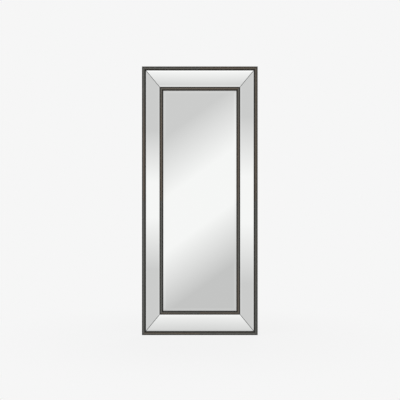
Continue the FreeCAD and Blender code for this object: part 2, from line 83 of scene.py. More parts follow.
Colour = tuple[float, float, float, float]
Triple = tuple[float, float, float]

WHITE: Colour = (1.0, 1.0, 1.0, 1.0)

# The sRGB curve from screen levels to linear light.
TOP_LEVEL = 255
CURVE_KNEE = 0.04045
CURVE_FOOT = 12.92
CURVE_LIFT = 0.055
CURVE_POWER = 2.4


def grey_light(level: float) -> float:
    """Give the linear light of a screen level, by the sRGB curve.

    Args:
        level: The level, from 0 to 255.

    Returns:
        The light, from 0 to 1.
    """
    part = level / TOP_LEVEL
    if part <= CURVE_KNEE:
        return part / CURVE_FOOT
    return ((part + CURVE_LIFT) / (1.0 + CURVE_LIFT)) ** CURVE_POWER


def srgb(red: float, green: float, blue: float) -> Colour:
    """Turn a screen colour of 0 to 255 into the linear colour that shaders take."""
    return grey_light(red), grey_light(green), grey_light(blue), 1.0


@dataclass(frozen=True)
class Slide:
    """How one value follows another: start at and under low, end at and over high."""

    low: float
    high: float
    start: float = 0.0
    end: float = 1.0


@dataclass(frozen=True)
class Grain:
    """A noise: its fineness, its number of octaves and how strong the finer ones are."""

    fineness: float
    octaves: float
    strength: float


@dataclass(frozen=True)
class Relief:
    """A bump: how much of it is used, and the height of 1 in metres."""

    strength: float
    height: float


WHOLE = Slide(0.0, 1.0)


class Wire:
    """A shader socket that takes part in Python expressions; each operator adds a Math node."""

    def __init__(self, graph: ShaderGraph, socket: bpy.types.NodeSocket) -> None:
        """Keep the socket and the graph that it belongs to."""
        self.graph = graph
        self.socket = socket

    def __add__(self, other: Term) -> Wire:
        """Add."""
        return self.graph.math("ADD", self, other)

    def __radd__(self, other: Term) -> Wire:
        """Add to a number."""
        return self.graph.math("ADD", other, self)

    def __sub__(self, other: Term) -> Wire:
        """Subtract."""
        return self.graph.math("SUBTRACT", self, other)

    def __rsub__(self, other: Term) -> Wire:
        """Subtract from a number."""
        return self.graph.math("SUBTRACT", other, self)

    def __mul__(self, other: Term) -> Wire:
        """Multiply."""
        return self.graph.math("MULTIPLY", self, other)

    def __rmul__(self, other: Term) -> Wire:
        """Multiply a number."""
        return self.graph.math("MULTIPLY", other, self)

    def __truediv__(self, other: Term) -> Wire:
        """Divide."""
        return self.graph.math("DIVIDE", self, other)

    def __rtruediv__(self, other: Term) -> Wire:
        """Divide a number by the value."""
        return self.graph.math("DIVIDE", other, self)

    def __pow__(self, other: Term) -> Wire:
        """Raise to a power."""
        return self.graph.math("POWER", self, other)

    def __rpow__(self, other: Term) -> Wire:
        """Raise a number to the value."""
        return self.graph.math("POWER", other, self)

    def __neg__(self) -> Wire:
        """Turn the sign."""
        return self.graph.math("MULTIPLY", self, -1.0)

    def __abs__(self) -> Wire:
        """Give the size without its sign."""
        return self.graph.math("ABSOLUTE", self)

    def __lt__(self, other: Term) -> Wire:
        """Give 1 where the value is under the other one."""
        return self.graph.math("LESS_THAN", self, other)

    def __gt__(self, other: Term) -> Wire:
        """Give 1 where the value is over the other one."""
        return self.graph.math("GREATER_THAN", self, other)

    def least(self, other: Term) -> Wire:
        """Give the smaller of two values."""
        return self.graph.math("MINIMUM", self, other)

    def most(self, other: Term) -> Wire:
        """Give the larger of two values."""
        return self.graph.math("MAXIMUM", self, other)

    def towards(self, other: Term, share: Wire) -> Wire:
        """Go towards another value by a share of the way."""
        return self + (other - self) * share

    def ease(self, slide: Slide) -> Wire:
        """Go softly from one value to another."""
        return self._follow(slide, "SMOOTHSTEP")

    def ramp(self, slide: Slide) -> Wire:
        """Go straight from one value to another."""
        return self._follow(slide, "LINEAR")

    def _follow(self, slide: Slide, curve: str) -> Wire:
        """Follow a slide by a Map Range node.

        Args:
            slide: The limits and the results there.
            curve: The node's kind of interpolation.

        Returns:
            The value that follows this one.
        """
        sockets = {"From Min": slide.low, "From Max": slide.high, "To Min": slide.start, "To Max": slide.end}
        settings = {"interpolation_type": curve}
        return self.graph.node("ShaderNodeMapRange", settings, {"Value": self, **sockets})


Term = Union[Wire, float]


class ShaderGraph:
    """A shader node tree that is written as expressions."""

    def __init__(self, tree: bpy.types.NodeTree) -> None:
        """Empty the node tree of a material or of the world."""
        self.tree = tree
        tree.nodes.clear()

    @staticmethod
    def _find(sockets: Iterable[bpy.types.NodeSocket], key: Union[str, int]) -> bpy.types.NodeSocket:
        """Find a socket.

        Args:
            sockets: A node's inputs or outputs.
            key: The socket's number, identifier or name.

        Returns:
            The first socket that fits.
        """
        listed = list(sockets)
        if isinstance(key, int):
            return listed[key]
        for socket in listed:
            if socket.identifier == key:
                return socket
        return next(socket for socket in listed if socket.name == key)

    def node(self, kind: str, settings: dict[str, Any], sockets: dict[Union[str, int], Any],
             output: Union[str, int] = 0) -> Wire:
        """Add one node.

        Args:
            kind: The node's type.
            settings: Its settings, set before its sockets.
            sockets: Values or wires for its inputs.
            output: Which output to hand on.

        Returns:
            The chosen output, or the first input of a node that has no output.
        """
        made = self.tree.nodes.new(kind)
        for name, setting in settings.items():
            setattr(made, name, setting)
        for key, given in sockets.items():
            socket = self._find(made.inputs, key)
            if isinstance(given, Wire):
                self.tree.links.new(given.socket, socket)
            else:
                socket.default_value = given
        ends = made.outputs if len(made.outputs) else made.inputs
        return Wire(self, self._find(ends, output))

    def math(self, operation: str, *terms: Term) -> Wire:
        """Add a Math node on values and numbers."""
        return self.node("ShaderNodeMath", {"operation": operation}, dict(enumerate(terms)))

    def mix(self, factor: Term, first: Union[Wire, Colour], second: Union[Wire, Colour]) -> Wire:
        """Mix two colours, from the first at 0 to the second at 1."""
        sockets = {"Factor_Float": factor, "A_Color": first, "B_Color": second}
        return self.node("ShaderNodeMix", {"data_type": "RGBA"}, sockets, "Result_Color")

    def split(self, vector: Wire) -> tuple[Wire, Wire, Wire]:
        """Split a vector into its three parts.

        Args:
            vector: The vector.

        Returns:
            Its X, Y and Z.
        """
        first = self.node("ShaderNodeSeparateXYZ", {}, {0: vector})
        x, y, z = (Wire(self, output) for output in first.socket.node.outputs)
        return x, y, z

    def join(self, x: Term, y: Term, z: Term) -> Wire:
        """Make a vector of three values."""
        return self.node("ShaderNodeCombineXYZ", {}, {0: x, 1: y, 2: z})

    def coordinate(self, kind: str) -> Wire:
        """Give one kind of texture coordinate."""
        return self.node("ShaderNodeTexCoord", {}, {}, kind)

    def place(self) -> Wire:
        """Give the point's place on the object, in metres."""
        return self.coordinate("Object")

    def ray(self, kind: str) -> Wire:
        """Give 1 where the light path is of a kind."""
        return self.node("ShaderNodeLightPath", {}, {}, kind)

    def noise(self, vector: Wire, grain: Grain) -> Wire:
        """Read a noise at a place; its values lie around 0.5."""
        sockets = {"Scale": grain.fineness, "Detail": grain.octaves, "Roughness": grain.strength}
        return self.node("ShaderNodeTexNoise", {}, {"Vector": vector, **sockets})

    def bump(self, height: Wire, relief: Relief) -> Wire:
        """Turn a height of 0 to 1 into a normal."""
        sockets = {"Height": height, "Strength": relief.strength, "Distance": relief.height}
        return self.node("ShaderNodeBump", {}, sockets)

    def surface(self, **sockets: Any) -> None:
        """End the tree in a Principled surface.

        Args:
            sockets: Values or wires for its inputs; a socket's name is written with underscores.
        """
        named = {name.replace("_", " ").title(): given for name, given in sockets.items()}
        shader = self.node("ShaderNodeBsdfPrincipled", {}, named)
        self.node("ShaderNodeOutputMaterial", {}, {"Surface": shader})


def new_material(name: str) -> tuple[bpy.types.Material, ShaderGraph]:
    """Start a material.

    Args:
        name: Its name.

    Returns:
        The material and its empty graph.
    """
    material = bpy.data.materials.new(name)
    material.use_nodes = True
    return material, ShaderGraph(material.node_tree)


def place_object(name: str, data: bpy.types.ID) -> bpy.types.Object:
    """Add an object to the scene.

    Args:
        name: Its name.
        data: Its mesh, camera or lamp.

    Returns:
        The new object.
    """
    thing = bpy.data.objects.new(name, data)
    bpy.context.scene.collection.objects.link(thing)
    return thing


def keep_mesh(name: str, mesh: bmesh.types.BMesh) -> bpy.types.Object:
    """Turn a working mesh into an object of the scene.

    Args:
        name: The object's name.
        mesh: The working mesh, which is freed.

    Returns:
        The new object.
    """
    data = bpy.data.meshes.new(name)
    mesh.to_mesh(data)
    mesh.free()
    return place_object(name, data)


@dataclass(frozen=True)
class MouldingPlan:
    """The plan of one ring of mouldings in metres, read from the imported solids.

    half_width and half_height reach a ring's outer faces, bead is the width of its sticks, and front and
    back are where its crest and its rear face lie along Y.
    """

    half_width: float
    half_height: float
    bead: float
    front: float
    back: float

    @classmethod
    def read(cls, ring: str) -> MouldingPlan:
        """Measure one ring of packed mouldings by its left and top sticks.

        Args:
            ring: What the names of its nodes begin with.

        Returns:
            The ring's plan.
        """
        low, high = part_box(f"{ring}_left")
        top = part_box(f"{ring}_top")[1].z
        return cls(-low.x, top, high.x - low.x, low.y, high.y)


@dataclass(frozen=True)
class SilveredGlass:
    """Silvered plate glass: a clear reflection in front, ground dark green edges and grey paint behind."""

    name: str = "silvered_glass"
    silver: Colour = srgb(248, 249, 248)
    ground_edge: Colour = srgb(54, 62, 59)
    back_paint: Colour = srgb(96, 100, 104)
    facing: Slide = Slide(0.8, 0.86)
    haze: Grain = Grain(9.0, 4.0, 0.6)
    haze_blur: Slide = Slide(0.35, 0.75, 0.0, 0.012)
    frost: Grain = Grain(900.0, 2.0, 0.6)
    frost_blur: Slide = Slide(0.3, 0.7, 0.35, 0.6)

    def material(self) -> bpy.types.Material:
        """Build the material.

        Returns:
            The finished material.
        """
        material, graph = new_material(self.name)
        place = graph.place()
        _, rearward, _ = graph.split(graph.coordinate("Normal"))
        front = (-rearward).ease(self.facing)
        body = graph.mix(rearward.ease(self.facing), self.ground_edge, self.back_paint)
        colour = graph.mix(front, body, self.silver)
        haze = graph.noise(place, self.haze).ease(self.haze_blur)
        frost = graph.noise(place, self.frost).ease(self.frost_blur)
        roughness = front * haze + (1.0 - front) * frost
        graph.surface(base_color=colour, metallic=front, roughness=roughness)
        return material


@dataclass(frozen=True)
class BronzeLeaf:
    """Dark bronze on a bead moulding: brushed along the stick, with dark quirks, a crest lightened partly by
    rubbed wear and partly by a painted highlight, and painted shade on the flanks.

    Widths and depths are in metres. The stick shifts move the patterns, so that no two sticks of a ring have
    the same ones: the first is added on the rails, the second on the right and the third in the upper half.
    """

    name: str
    plan: MouldingPlan
    deep: Colour = srgb(36, 35, 33)
    brown: Colour = srgb(68, 60, 51)
    olive: Colour = srgb(60, 60, 56)
    # Crest tones: partly rubbed wear, partly a painted highlight on the crest.
    wear_and_highlight_warm: Colour = srgb(127, 116, 103)
    wear_and_highlight_cool: Colour = srgb(120, 120, 115)
    stain: Colour = srgb(74, 60, 47)
    stick_shifts: Triple = (3.0, 7.0, 13.0)
    streak: Grain = Grain(1.0, 3.0, 0.6)
    streak_along: float = 9.0
    streak_across: float = 1100.0
    cloud: Grain = Grain(1.0, 3.0, 0.55)
    cloud_along: float = 1.2
    cloud_across: float = 20.0
    fleck: Grain = Grain(420.0, 3.0, 0.7)
    front_depth: Slide = Slide(0.006, 0.009, 1.0, 0.0)
    rear_skin: Slide = Slide(0.0002, 0.0006, 1.0, 0.0)
    crest_reach: Slide = Slide(0.0, 0.0048, 1.0, 0.0)
    # Painted shade on the bead's flanks.
    painted_flank_shade: Slide = Slide(0.004, 0.0075, 0.0, 0.35)
    quirk_run: float = 0.0036
    quirk_width: Slide = Slide(0.0003, 0.0014, 1.0, 0.0)
    quirk_shade: float = 0.75
    mitre_line: Slide = Slide(0.00025, 0.0005, 0.7, 0.0)
    ageing: Slide = Slide(0.38, 0.62)
    streak_shade: Slide = Slide(0.3, 0.7, 0.0, 0.22)
    stain_streak: Slide = Slide(0.3, 0.7)
    crest_wear_and_highlight: float = 0.58
    fleck_wear_and_highlight: Slide = Slide(0.42, 0.7, 0.0, 0.06)
    streak_wear_and_highlight: Slide = Slide(0.4, 0.7, 0.0, 0.14)
    blur: Slide = Slide(0.2, 0.8, 0.38, 0.48)
    quirk_blur: float = 0.2
    rear_blur: float = 0.3
    metal: float = 0.25
    worn_metal: float = 0.4
    streak_height: float = 0.85
    fleck_height: float = 0.15
    relief: Relief = Relief(0.1, 0.0001)

    def material(self) -> bpy.types.Material:
        """Build the material.

        Returns:
            The finished material.
        """
        material, graph = new_material(self.name)
        plan = self.plan
        x, y, z = graph.split(graph.place())

        # Where the point lies on its stick: run is across it from the outer face, along is its length.
        from_stile = plan.half_width - abs(x)
        from_rail = plan.half_height - abs(z)
        run = from_stile.least(from_rail)
        on_rail = from_rail < from_stile
        along = on_rail * x + (1.0 - on_rail) * z
        rail_shift, right_shift, upper_shift = self.stick_shifts
        shift = on_rail * rail_shift + (x > 0.0) * right_shift + (z > 0.0) * upper_shift

        def stretched(lengthwise: float, crosswise: float) -> Wire:
            """Give the place on the stick with its own fineness along and across."""
            return graph.join(along * lengthwise + shift, run * crosswise, y * crosswise)

        streak = graph.noise(stretched(self.streak_along, self.streak_across), self.streak)
        cloud = graph.noise(stretched(self.cloud_along, self.cloud_across), self.cloud)
        fleck = graph.noise(graph.join(along + shift, run, y), self.fleck)

        # The parts of the section, each 1 where the point belongs to it.
        from_crest = abs(run - plan.bead / 2)
        in_front = (y - plan.front).ease(self.front_depth)
        behind = (plan.back - y).ease(self.rear_skin)
        crest = in_front * from_crest.ease(self.crest_reach)
        quirk_at = plan.bead / 2 - self.quirk_run
        quirk = in_front * abs(from_crest - quirk_at).ease(self.quirk_width)
        mitre = abs(from_stile - from_rail).ease(self.mitre_line)
        # The crest is lightened, partly as rubbed wear and partly as a painted highlight.
        wear_and_highlight = crest * (self.crest_wear_and_highlight + fleck.ease(self.fleck_wear_and_highlight) + streak.ease(self.streak_wear_and_highlight))

        aged = cloud.ease(self.ageing)
        wear_and_highlight_tone = graph.mix(aged, self.wear_and_highlight_warm, self.wear_and_highlight_cool)
        stained = graph.mix(streak.ease(self.stain_streak), self.stain, self.deep)
        tone = graph.mix(aged, self.brown, self.olive)
        tone = graph.mix(streak.ease(self.streak_shade), tone, self.deep)
        # Painted shade: the flanks darken towards the deep tone away from the crest.
        tone = graph.mix(from_crest.ease(self.painted_flank_shade), tone, self.deep)
        tone = graph.mix(wear_and_highlight, tone, wear_and_highlight_tone)
        tone = graph.mix(quirk * self.quirk_shade, tone, self.deep)
        tone = graph.mix(behind, tone, stained)
        tone = graph.mix(mitre, tone, self.deep)

        roughness = streak.ease(self.blur) + quirk * self.quirk_blur + behind * self.rear_blur
        metallic = (self.metal + wear_and_highlight * self.worn_metal) * (1.0 - behind)
        normal = graph.bump(streak * self.streak_height + fleck * self.fleck_height, self.relief)
        graph.surface(base_color=tone, roughness=roughness, metallic=metallic, normal=normal)
        return material


@dataclass(frozen=True)
class PaintedBoard:
    """Fibreboard sprayed with thin black paint: fine nap, lean spots, a few scuffs and open mitre lines."""

    outer: MouldingPlan
    inner: MouldingPlan
    name: str = "black_sprayed_board"
    paint: Colour = srgb(40, 38, 37)
    lean: Colour = srgb(62, 55, 49)
    scuff: Colour = srgb(112, 94, 74)
    gap: Colour = srgb(12, 12, 12)
    cloud: Grain = Grain(7.0, 4.0, 0.6)
    lean_share: Slide = Slide(0.4, 0.75, 0.0, 0.4)
    scratch: Grain = Grain(60.0, 5.0, 0.75)
    scuff_share: Slide = Slide(0.7, 0.8, 0.0, 0.5)
    mitre_line: Slide = Slide(0.0003, 0.0006, 1.0, 0.0)
    nap: Grain = Grain(1400.0, 2.0, 0.6)
    blur: Slide = Slide(0.3, 0.7, 0.62, 0.85)
    relief: Relief = Relief(0.35, 0.00015)

    def mitre_distance(self, x: Wire, z: Wire) -> Wire:
        """Give how far a point lies from its corner's mitre line.

        Args:
            x: The point's X.
            z: The point's Z.

        Returns:
            The distance in metres.
        """
        half_width = self.outer.half_width - self.outer.bead
        half_height = self.outer.half_height - self.outer.bead
        across = half_width - self.inner.half_width
        up = half_height - self.inner.half_height
        length = math.hypot(across, up)
        return abs((half_width - abs(x)) * (up / length) - (half_height - abs(z)) * (across / length))

    def material(self) -> bpy.types.Material:
        """Build the material.

        Returns:
            The finished material.
        """
        material, graph = new_material(self.name)
        place = graph.place()
        x, _, z = graph.split(place)
        nap = graph.noise(place, self.nap)
        lean = graph.noise(place, self.cloud).ease(self.lean_share)
        scuff = graph.noise(place, self.scratch).ease(self.scuff_share)
        mitre = self.mitre_distance(x, z).ease(self.mitre_line)
        tone = graph.mix(lean, self.paint, self.lean)
        tone = graph.mix(scuff, tone, self.scuff)
        tone = graph.mix(mitre, tone, self.gap)
        normal = graph.bump(nap, self.relief)
        graph.surface(base_color=tone, roughness=nap.ease(self.blur), normal=normal)
        return material


@dataclass(frozen=True)
class Hardboard:
    """Brown pressed board: bent fibres that lie upright and level, painted shadow along the level ones, and
    a slow change of tone.
    """

    name: str = "brown_hardboard"
    light: Colour = srgb(164, 124, 84)
    dark: Colour = srgb(112, 79, 50)
    fibre: Colour = srgb(190, 152, 108)
    cloud: Grain = Grain(5.0, 4.0, 0.6)
    darkening: Slide = Slide(0.3, 0.7, 0.35, 0.57)
    bend: Grain = Grain(45.0, 2.0, 0.5)
    bend_reach: float = 9.0
    matting: Grain = Grain(1.0, 4.0, 0.65)
    fineness: float = 700.0
    upright_along: float = 160.0
    level_along: float = 150.0
    level_across: float = 620.0
    upright_share: Slide = Slide(0.55, 0.72, 0.0, 0.7)
    # Painted fibre shadow: how strongly the level fibres darken.
    painted_fibre_shadow_share: Slide = Slide(0.55, 0.75, 0.0, 0.65)
    blur: Slide = Slide(0.3, 0.7, 0.55, 0.8)
    relief: Relief = Relief(0.3, 0.0002)

    def material(self) -> bpy.types.Material:
        """Build the material.

        Returns:
            The finished material.
        """
        material, graph = new_material(self.name)
        place = graph.place()
        x, y, z = graph.split(place)
        bend = graph.noise(place, self.bend) * self.bend_reach
        through = y * self.fineness
        upright_place = graph.join(x * self.fineness + bend, through, z * self.upright_along)
        level_place = graph.join(x * self.level_along, through, z * self.level_across + bend)
        upright = graph.noise(upright_place, self.matting)
        level = graph.noise(level_place, self.matting)
        tone = graph.mix(graph.noise(place, self.cloud).ease(self.darkening), self.light, self.dark)
        tone = graph.mix(upright.ease(self.upright_share), tone, self.fibre)
        # Painted shadow: dark marks along the level fibres.
        tone = graph.mix(level.ease(self.painted_fibre_shadow_share), tone, self.dark)
        normal = graph.bump((upright + level) / 2, self.relief)
        graph.surface(base_color=tone, roughness=level.ease(self.blur), normal=normal)
        return material


@dataclass(frozen=True)
class ZincPlate:
    """Zinc-plated steel: a cool bright grey with a faint straw film, rolling lines and dull patches."""

    name: str = "zinc_plated_steel"
    bright: Colour = srgb(206, 208, 212)
    cool: Colour = srgb(176, 186, 200)
    straw: Colour = srgb(206, 196, 168)
    patch: Grain = Grain(70.0, 3.0, 0.55)
    cool_share: Slide = Slide(0.3, 0.7, 0.0, 0.6)
    film: Grain = Grain(45.0, 2.0, 0.5)
    film_shift: float = 3.0
    straw_share: Slide = Slide(0.5, 0.72, 0.0, 0.35)
    rolling: Grain = Grain(1.0, 2.0, 0.5)
    rolling_along: float = 220.0
    rolling_across: float = 3000.0
    patch_blur: Slide = Slide(0.3, 0.7, 0.24, 0.34)
    rolling_blur: Slide = Slide(0.4, 0.8, 0.0, 0.08)
    relief: Relief = Relief(0.15, 0.00005)

    def material(self) -> bpy.types.Material:
        """Build the material.

        Returns:
            The finished material.
        """
        material, graph = new_material(self.name)
        place = graph.place()
        x, y, z = graph.split(place)
        patch = graph.noise(place, self.patch)
        film = graph.noise(graph.join(x + self.film_shift, y, z), self.film)
        across = self.rolling_across
        lines = graph.noise(graph.join(x * self.rolling_along, y * across, z * across), self.rolling)
        tone = graph.mix(patch.ease(self.cool_share), self.bright, self.cool)
        tone = graph.mix(film.ease(self.straw_share), tone, self.straw)
        roughness = patch.ease(self.patch_blur) + lines.ease(self.rolling_blur)
        normal = graph.bump(lines, self.relief)
        graph.surface(base_color=tone, roughness=roughness, metallic=1.0, normal=normal)
        return material


@dataclass(frozen=True)
class MouldedRubber:
    """Black moulded rubber with a fine matt skin and a little dust."""

    name: str = "black_rubber"
    skin: Colour = srgb(28, 28, 29)
    dust: Colour = srgb(70, 68, 64)
    dusting: Grain = Grain(240.0, 4.0, 0.7)
    dust_share: Slide = Slide(0.55, 0.8, 0.0, 0.5)
    blur: Slide = Slide(0.3, 0.7, 0.55, 0.75)
    pores: Grain = Grain(2600.0, 2.0, 0.6)
    relief: Relief = Relief(0.3, 0.0001)

    def material(self) -> bpy.types.Material:
        """Build the material.

        Returns:
            The finished material.
        """
        material, graph = new_material(self.name)
        place = graph.place()
        dust = graph.noise(place, self.dusting)
        tone = graph.mix(dust.ease(self.dust_share), self.skin, self.dust)
        normal = graph.bump(graph.noise(place, self.pores), self.relief)
        graph.surface(base_color=tone, roughness=dust.ease(self.blur), normal=normal)
        return material


@dataclass(frozen=True)
class PaleStock:
    """A pale matt material such as board, foam tape or beech, with two tones in a fine grain.

    stretch is the fineness of the grain along X, Y and Z.
    """

    name: str
    pale: Colour
    dark: Colour
    stretch: Triple
    grain: Grain = Grain(1.0, 4.0, 0.6)
    dark_share: Slide = Slide(0.35, 0.65)
    blur: Slide = Slide(0.3, 0.7, 0.65, 0.85)
    relief: Relief = Relief(0.25, 0.0001)

    def material(self) -> bpy.types.Material:
        """Build the material.

        Returns:
            The finished material.
        """
        material, graph = new_material(self.name)
        x, y, z = (part * scale for part, scale in zip(graph.split(graph.place()), self.stretch))
        grain = graph.noise(graph.join(x, y, z), self.grain)
        tone = graph.mix(grain.ease(self.dark_share), self.pale, self.dark)
        normal = graph.bump(grain, self.relief)
        graph.surface(base_color=tone, roughness=grain.ease(self.blur), normal=normal)
        return material


class Finish(Enum):
    """The record's material slots that the hidden and the hardware nodes take."""

    CORE = "core_board"
    PANEL = "back_board"
    BACKING = "backing_board"
    TAPE = "mounting_tape"
    TONGUE = "tongue_wood"
    RUBBER = "black_rubber"
    ZINC = "zinc_steel"


def dress_node(frame: dict[str, Any], node: str, material: bpy.types.Material) -> None:
    """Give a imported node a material.

    Args:
        node: The node's name.
        material: Its new material.
    """
    thing = frame["nodes"][node]
    if not thing.material_slots:
        thing.data.materials.append(material)
    for slot in thing.material_slots:
        slot.material = material
    LOG.info("%s wears %s", node, material.name)


@dataclass
class MirrorPlates:
    """The centre mirror and the four bevelled strips round it."""

    frame: dict[str, Any]
    glass: SilveredGlass = SilveredGlass()

    def dress(self) -> None:
        """Silver every plate."""
        material = self.glass.material()
        for node in self.frame["nodes"]:
            if node == "centre_mirror" or node.startswith("mirror_strip"):
                dress_node(self.frame, node, material)


@dataclass
class BeadMouldings:
    """The outer and the inner bead moulding."""

    frame: dict[str, Any]
    outer: MouldingPlan
    inner: MouldingPlan

    def dress(self) -> None:
        """Finish each ring of mouldings with its own bronze, centred on its own bead."""
        rings = {
            "outer_moulding": BronzeLeaf("bronze_outer_bead", self.outer),
            "inner_moulding": BronzeLeaf("bronze_inner_bead", self.inner),
        }
        for ring, finish in rings.items():
            material = finish.material()
            for node in self.frame["nodes"]:
                if node.startswith(ring):
                    dress_node(self.frame, node, material)


@dataclass
class BackWorks:
    """All that is behind the glass: core, panel, backing, tape, tongues, rubber, braces and hangers."""

    frame: dict[str, Any]
    outer: MouldingPlan
    inner: MouldingPlan
    backing: PaleStock = PaleStock("kraft_board", srgb(196, 164, 122), srgb(160, 126, 88), (60, 900, 900))
    tape: PaleStock = PaleStock("foam_tape", srgb(226, 226, 220), srgb(200, 200, 194), (1200, 1200, 1200))
    tongue: PaleStock = PaleStock("beech_tongue", srgb(206, 166, 118), srgb(176, 132, 88), (90, 700, 700))

    def dress(self) -> dict[Finish, bpy.types.Material]:
        """Finish the nodes by the record's slots.

        Returns:
            The materials, by slot.
        """
        materials = {
            Finish.CORE: PaintedBoard(self.outer, self.inner).material(),
            Finish.PANEL: Hardboard().material(),
            Finish.BACKING: self.backing.material(),
            Finish.TAPE: self.tape.material(),
            Finish.TONGUE: self.tongue.material(),
            Finish.RUBBER: MouldedRubber().material(),
            Finish.ZINC: ZincPlate().material(),
        }
        for part in self.frame["record"]["subparts"]:
            for finish, material in materials.items():
                if part["material_slot"] == finish.value:
                    dress_node(self.frame, part["node"], material)
        return materials


@dataclass
class PanHeadScrews:
    """The pan-head screws of one group, with a domed head and a cross recess.

    The sizes are in metres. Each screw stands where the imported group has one, turned to its own angle. The
    tip's and the underside's shares are of a radius, and the rim's is of the head's height. bit_floor and
    bit_mouth are the shares of the recess's length and width that the cutting bit has at its two ends.
    """

    frame: dict[str, Any]
    node: str
    material: bpy.types.Material
    seed: int
    head: float = 0.0075
    head_height: float = 0.0023
    head_arris: float = 0.0001
    underside_share: float = 0.97
    rim_share: float = 0.42
    dome_power: float = 0.62
    dome_rings: int = 7
    shank: float = 0.0035
    tip: float = 0.0025
    tip_share: float = 0.3
    recess: float = 0.0046
    recess_width: float = 0.0011
    recess_depth: float = 0.0013
    bit_above: float = 0.0004
    bit_floor: tuple[float, float] = (0.45, 0.8)
    bit_mouth: tuple[float, float] = (1.08, 1.05)
    sides: int = 40

    def packed_screws(self) -> list[list[Vector]]:
        """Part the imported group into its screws.

        Returns:
            The points of each screw.
        """
        joined = bmesh.new()
        joined.from_mesh(self.frame["nodes"][self.node].data)
        bmesh.ops.remove_doubles(joined, verts=joined.verts, dist=SAME_PLACE)
        waiting = set(joined.verts)
        screws = []
        while waiting:
            points = []
            queue = [waiting.pop()]
            while queue:
                vertex = queue.pop()
                points.append(vertex.co.copy())
                for edge in vertex.link_edges:
                    other = edge.other_vert(vertex)
                    if other in waiting:
                        waiting.remove(other)
                        queue.append(other)
            screws.append(points)
        joined.free()
        return screws

    def seats(self) -> tuple[list[Vector], float]:
        """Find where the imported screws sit.

        Returns:
            The middle of the seat under each head, and the length of a shank.
        """
        seats = []
        length = 0.0
        for points in self.packed_screws():
            low = Vector([min(point[axis] for point in points) for axis in range(3)])
            high = Vector([max(point[axis] for point in points) for axis in range(3)])
            seat = high.y - self.head_height
            seats.append(Vector(((low.x + high.x) / 2, seat, (low.z + high.z) / 2)))
            length = max(length, seat - low.y)
        seats.sort(key=lambda seat: (round(seat.x, SORT_DIGITS), round(seat.z, SORT_DIGITS)))
        return seats, length

    def profile(self, length: float) -> list[tuple[float, float]]:
        """Give the turned outline of one screw, from the tip to the crown.

        Args:
            length: The shank's length.

        Returns:
            Each point's radius and its height over the seat.
        """
        shank = self.shank / 2
        head = self.head / 2
        rim = self.head_height * self.rim_share
        outline = [
            (0.0, -length),
            (shank * self.tip_share, -length),
            (shank, -length + self.tip),
            (shank, 0.0),
            (head * self.underside_share, 0.0),
            (head, self.head_arris),
        ]
        for ring in range(self.dome_rings + 1):
            turn = math.pi / 2 * ring / self.dome_rings
            radius = head * math.cos(turn) ** self.dome_power
            outline.append((radius, rim + (self.head_height - rim) * math.sin(turn)))
        return outline

    def turned_blank(self, length: float) -> bpy.types.Object:
        """Turn one screw blank about the Y axis, its head towards +Y.

        Args:
            length: The shank's length.

        Returns:
            The blank, with no recess.
        """
        mesh = bmesh.new()
        turns = [2 * math.pi * side / self.sides for side in range(self.sides)]
        rings = []
        for radius, height in self.profile(length):
            if radius < SAME_PLACE:
                rings.append([mesh.verts.new((0.0, height, 0.0))])
                continue
            places = [(radius * math.sin(turn), height, radius * math.cos(turn)) for turn in turns]
            rings.append([mesh.verts.new(place) for place in places])
        for lower, upper in zip(rings, rings[1:]):
            for side in range(self.sides):
                after = (side + 1) % self.sides
                corners = [lower[side % len(lower)], lower[after % len(lower)]]
                corners += [upper[after % len(upper)], upper[side % len(upper)]]
                mesh.faces.new(list(dict.fromkeys(corners)))
        bmesh.ops.recalc_face_normals(mesh, faces=mesh.faces)
        return keep_mesh(f"{self.node}_blank", mesh)

    def cross_bit(self) -> bpy.types.Object:
        """Make the tapered cross that cuts the recess.

        Returns:
            The bit, as two crossed bars.
        """
        mesh = bmesh.new()
        ends = (
            (self.head_height - self.recess_depth, self.bit_floor),
            (self.head_height + self.bit_above, self.bit_mouth),
        )
        for turned in (False, True):
            rings = []
            for height, (length_share, width_share) in ends:
                long = self.recess / 2 * length_share
                wide = self.recess_width / 2 * width_share
                corners = [(-long, -wide), (long, -wide), (long, wide), (-long, wide)]
                if turned:
                    corners = [(-z, x) for x, z in corners]
                rings.append([mesh.verts.new((x, height, z)) for x, z in corners])
            floor, mouth = rings
            mesh.faces.new(floor)
            mesh.faces.new(mouth[::-1])
            for side in range(len(floor)):
                after = (side + 1) % len(floor)
                mesh.faces.new((floor[side], mouth[side], mouth[after], floor[after]))
        bmesh.ops.recalc_face_normals(mesh, faces=mesh.faces)
        return keep_mesh(f"{self.node}_bit", mesh)

    def one_screw(self, length: float) -> bpy.types.Object:
        """Cut the recess into a blank.

        Args:
            length: The shank's length.

        Returns:
            The finished screw, with its seat at the origin.
        """
        blank = self.turned_blank(length)
        bit = self.cross_bit()
        cut = blank.modifiers.new("recess", "BOOLEAN")
        cut.operation = "DIFFERENCE"
        cut.solver = "EXACT"
        cut.use_self = True
        cut.object = bit
        view = bpy.context.evaluated_depsgraph_get()
        finished = bpy.data.meshes.new_from_object(blank.evaluated_get(view))
        blank.modifiers.remove(cut)
        blank.data = finished
        bpy.data.objects.remove(bit)
        return blank

